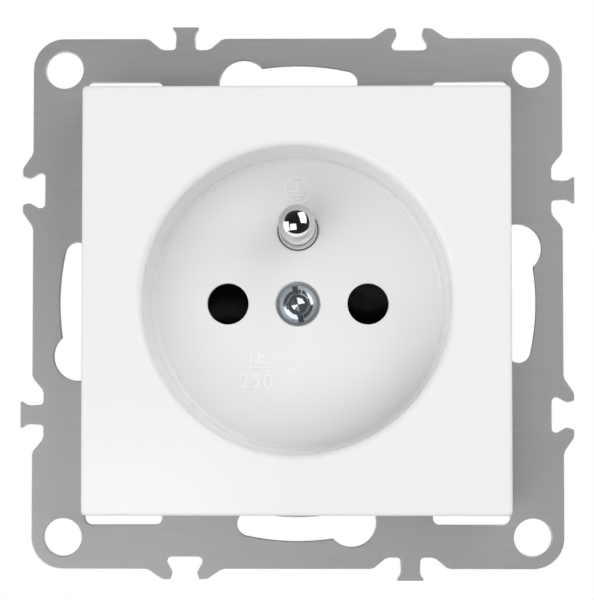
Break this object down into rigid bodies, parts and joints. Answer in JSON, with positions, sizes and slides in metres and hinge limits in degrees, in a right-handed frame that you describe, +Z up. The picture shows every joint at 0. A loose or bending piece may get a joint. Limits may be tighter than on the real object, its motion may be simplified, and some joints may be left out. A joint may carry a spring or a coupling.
{
  "type": "type e wall socket",
  "caption": "Flush wall socket with a round recess, a male earth pin and a rotary shutter, on a square steel strap with locking tabs.",
  "frame": {"origin": "centre of the back face of the steel strap, the face that lies on the wall, which is also the centre of the four corner holes", "axes": "X to the right, Z up, and -Y out of the wall along the way a plug is pulled"},
  "size_m": [0.0734, 0.0362, 0.0734],
  "materials": {
    "white_plastic": "glossy white thermoplastic",
    "black_plastic": "satin black moulding",
    "black_gloss": "glossy black moulding",
    "brushed_strap": "steel sheet, finely brushed sideways",
    "zinc_steel": "zinc plated, slightly blue",
    "plated_pin": "bright nickel plate",
    "brass": "rolled brass strip",
    "spring_steel": "hardened steel strip"
  },
  "bodies": {
    "insert": {"front_plate": "white_plastic", "plate_screw": "zinc_steel", "plate_screw_nut": "zinc_steel", "support_strap": "brushed_strap", "contact_cover": "black_plastic", "shutter_spring": "spring_steel", "base_housing": "black_plastic", "earth_pin": "plated_pin", "earth_bridge": "brass", "cover_screw_left": "zinc_steel", "cover_screw_right": "zinc_steel", "contact_left": "brass", "contact_right": "brass", "terminal_left": "zinc_steel", "clamp_left": "zinc_steel", "terminal_screw_left": "zinc_steel", "terminal_right": "zinc_steel", "clamp_right": "zinc_steel", "terminal_screw_right": "zinc_steel", "terminal_earth": "zinc_steel", "clamp_earth": "zinc_steel", "terminal_screw_earth": "zinc_steel", "strap_rivet_upper": "zinc_steel", "strap_rivet_lower": "zinc_steel"},
    "shutter": {"safety_shutter": "black_gloss"}
  },
  "joints": [
    {"name": "shutter_turn", "type": "hinge", "parent": "insert", "child": "shutter", "pos_m": [0, 0.0078, 0], "axis": [0, -1, 0], "range_deg": [0, 38], "stiffness_Nm_per_rad": 0.001, "springref_deg": -17.19, "deforming": ["shutter_spring"]}
  ]
}
